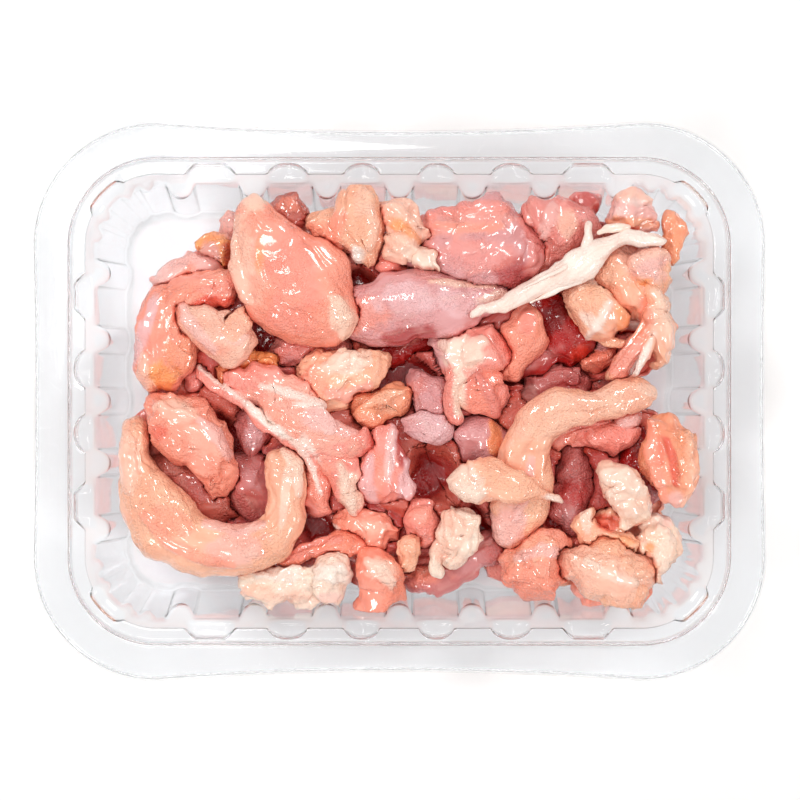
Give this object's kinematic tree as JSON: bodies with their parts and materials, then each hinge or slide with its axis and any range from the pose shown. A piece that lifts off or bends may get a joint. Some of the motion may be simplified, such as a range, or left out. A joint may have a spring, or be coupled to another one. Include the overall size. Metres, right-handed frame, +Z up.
{
  "type": "meat tray pack",
  "caption": "Clear thermoformed tray with a wide flange and ribbed walls, heaped with raw boned chicken leg meat; no lid or film.",
  "frame": {"origin": "middle of the tray's footprint, on the surface that it stands on", "axes": "+X along the tray's length, +Y across it towards the picture's upper edge, +Z up"},
  "size_m": [0.2298, 0.1752, 0.05],
  "materials": {
    "clear_plastic": "water-clear, glossy",
    "meat_salmon": "wet raw meat, salmon pink",
    "meat_peach": "wet raw meat, pale peach",
    "meat_cream": "wet fat and tendon, cream",
    "meat_mauve": "wet raw meat, mauve pink",
    "meat_brick": "wet raw meat, brick red",
    "meat_orange": "wet raw meat, orange pink",
    "meat_deep": "wet raw meat, deep red"
  },
  "bodies": {
    "root": {"tray": "clear_plastic", "fillet_large": "meat_salmon", "piece_right_tendon": "meat_salmon", "bulge_right": "meat_salmon", "piece_web": "meat_salmon", "piece_translucent": "meat_salmon", "piece_winged": "meat_salmon", "lump_smooth": "meat_salmon", "lump_bottom": "meat_salmon", "lump_glossy": "meat_salmon", "lump_under_s": "meat_salmon", "piece_low_back": "meat_salmon", "strip_crossing": "meat_peach", "strip_s": "meat_peach", "fillet_hooked": "meat_peach", "lobe_pale": "meat_peach", "piece_peaked": "meat_peach", "curl_fatty": "meat_peach", "nugget_low": "meat_peach", "lump_crumbly": "meat_peach", "lump_bottom_pale": "meat_peach", "strip_back_left": "meat_peach", "lump_small_top": "meat_peach", "tendon_band": "meat_cream", "fat_blob_right": "meat_cream", "lump_round_pale": "meat_cream", "fat_mass_low": "meat_cream", "fat_lumps": "meat_cream", "skin_right": "meat_cream", "muscle_lens": "meat_mauve", "slab_dark": "meat_mauve", "slab_glossy": "meat_mauve", "oval_mauve": "meat_mauve", "oval_grey_mauve": "meat_mauve", "piece_grey_pink": "meat_mauve", "oval_small_left": "meat_mauve", "tail_speckled": "meat_mauve", "oval_left": "meat_mauve", "oval_dark_right": "meat_mauve", "strip_mauve_low": "meat_mauve", "piece_in_hook": "meat_mauve", "piece_folded_right": "meat_brick", "piece_brown_back": "meat_brick", "piece_under_right": "meat_brick", "lump_dark_right": "meat_brick", "piece_low_right": "meat_brick", "lump_brown_centre": "meat_brick", "lump_left": "meat_orange", "lump_ochre": "meat_orange", "lump_fat_centre": "meat_orange", "strip_arched": "meat_orange", "piece_fibrous": "meat_orange", "folds_orange": "meat_orange", "piece_back_left": "meat_orange", "nugget_orange": "meat_orange", "lump_orange_low": "meat_orange", "piece_low_edge": "meat_orange", "sliver_right": "meat_orange", "muscle_dark": "meat_deep", "meat_bed": "meat_deep"}
  },
  "joints": []
}
